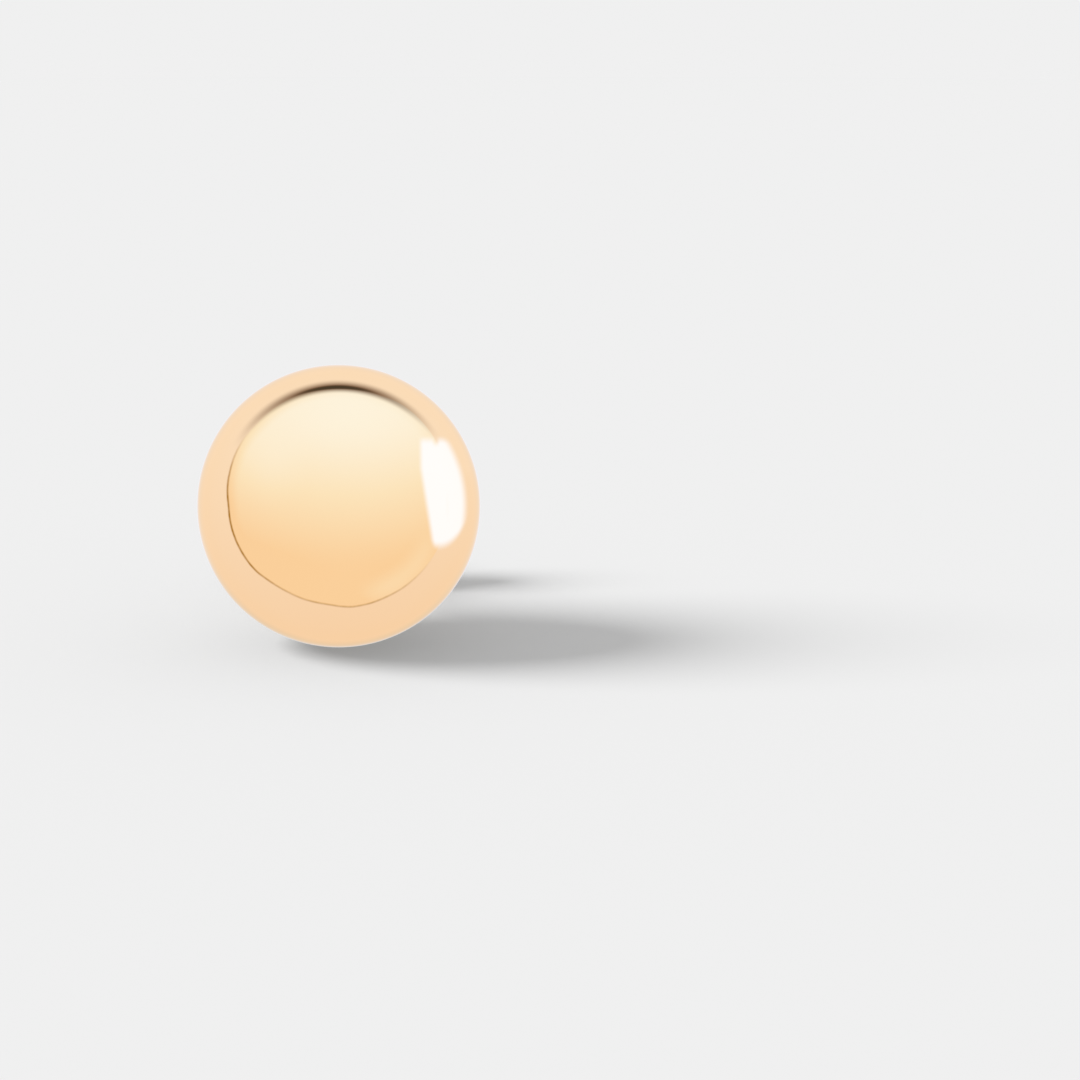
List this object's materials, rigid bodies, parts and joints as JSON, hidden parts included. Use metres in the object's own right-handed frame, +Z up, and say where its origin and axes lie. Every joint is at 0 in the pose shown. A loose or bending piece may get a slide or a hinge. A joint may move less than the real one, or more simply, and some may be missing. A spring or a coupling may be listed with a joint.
{
  "type": "ball stud earring",
  "caption": "Polished gold ball stud earring with a straight ear post and a butterfly friction back, lying unworn on the ball and the edge of the back.",
  "frame": {"origin": "middle of the bottom of the whole object's box, on the surface that the stud lies on", "axes": "+Z up from the surface; -Y towards the ball's front; +Y the way the post runs back from the ball, sloping down by about 15 degrees; +X to the right seen from the front"},
  "size_m": [0.01, 0.0194, 0.01],
  "materials": {
    "polished_gold": "warm pale gold, mirror polished on the ball and bright drawn on the post",
    "formed_gold": "warm pale gold strip, stamped, rolled and lightly burnished"
  },
  "bodies": {
    "root": {"ball_and_post": "polished_gold", "butterfly_back": "formed_gold"}
  },
  "joints": []
}
